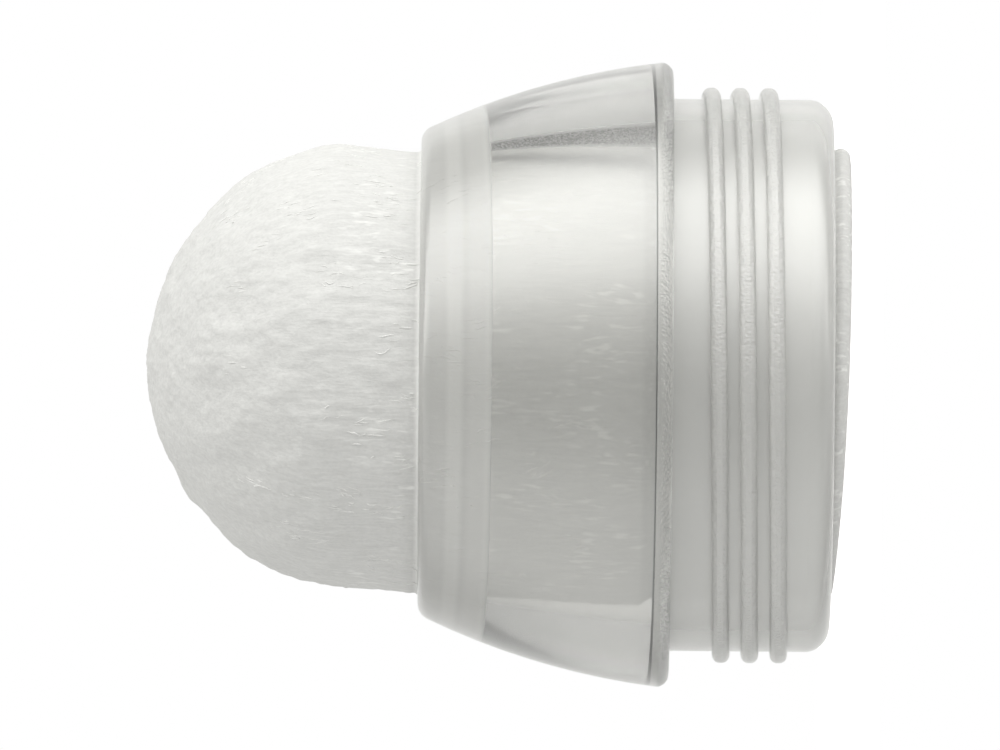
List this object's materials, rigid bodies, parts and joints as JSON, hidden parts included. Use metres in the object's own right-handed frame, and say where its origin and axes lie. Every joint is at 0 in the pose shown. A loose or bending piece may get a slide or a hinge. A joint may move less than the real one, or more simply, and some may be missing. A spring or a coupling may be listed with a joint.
{
  "type": "pneumatic muffler",
  "caption": "Screw-in pneumatic exhaust muffler: a translucent flared collar on a threaded sleeve, filled by a domed fibre plug that quiets the escaping air.",
  "frame": {"origin": "on the muffler's axis, at the lowest face of the fibre plug, where the part stands upright", "axes": "+Z along the axis towards the fibre dome, thread end down; the two ends of the thread lie on the +Y side"},
  "size_m": [0.0217, 0.0216, 0.0244],
  "materials": {
    "milky_plastic": "natural unfilled polypropylene, milky and translucent, smooth moulded",
    "white_fibre": "crimped white fibre tow, combed along the axis, trimmed to a dome"
  },
  "bodies": {
    "root": {"tapered_collar": "milky_plastic", "threaded_sleeve": "milky_plastic", "fibre_plug": "white_fibre"}
  },
  "joints": []
}
